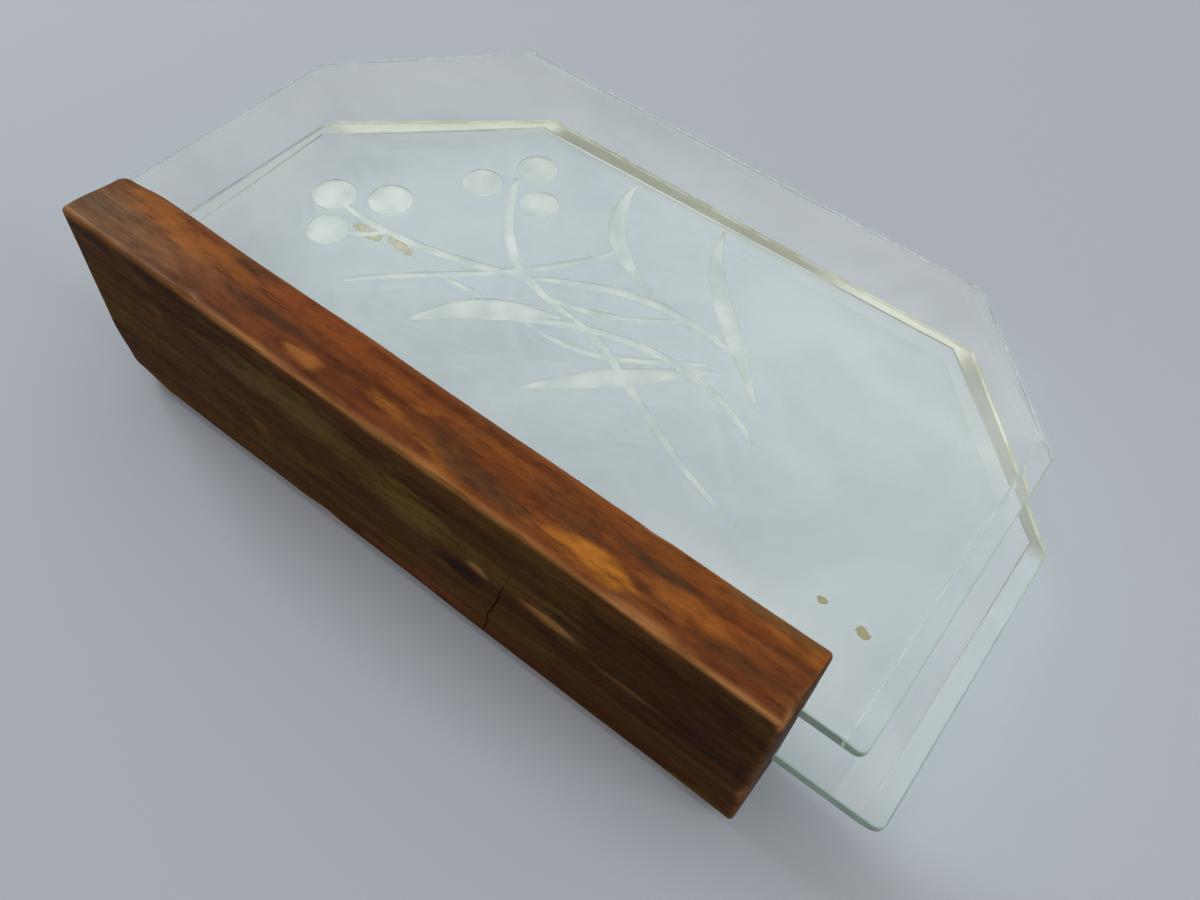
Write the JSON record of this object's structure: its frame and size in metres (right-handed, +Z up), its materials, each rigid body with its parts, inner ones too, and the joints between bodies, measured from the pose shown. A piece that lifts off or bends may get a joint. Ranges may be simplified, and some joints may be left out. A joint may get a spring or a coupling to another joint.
{
  "type": "napkin holder",
  "caption": "Upright napkin holder: hardwood bar with two bevelled clear glass sheets standing in slots, the front one engraved with a spray.",
  "frame": {"origin": "centre of the wooden bar's underside, on the surface the holder stands on", "axes": "+X along the bar, -Y out of the engraved front, +Z up through the glass"},
  "size_m": [0.2058, 0.048, 0.1217],
  "materials": {
    "wood": "worn oiled hardwood, reddish brown",
    "glass": "clear polished sheet, slightly green at the edges, engraved areas frosted",
    "cement": "dry cement"
  },
  "bodies": {
    "root": {"base_block": "wood", "front_glass": "glass", "back_glass": "glass", "front_cement": "cement", "back_cement": "cement"}
  },
  "joints": []
}
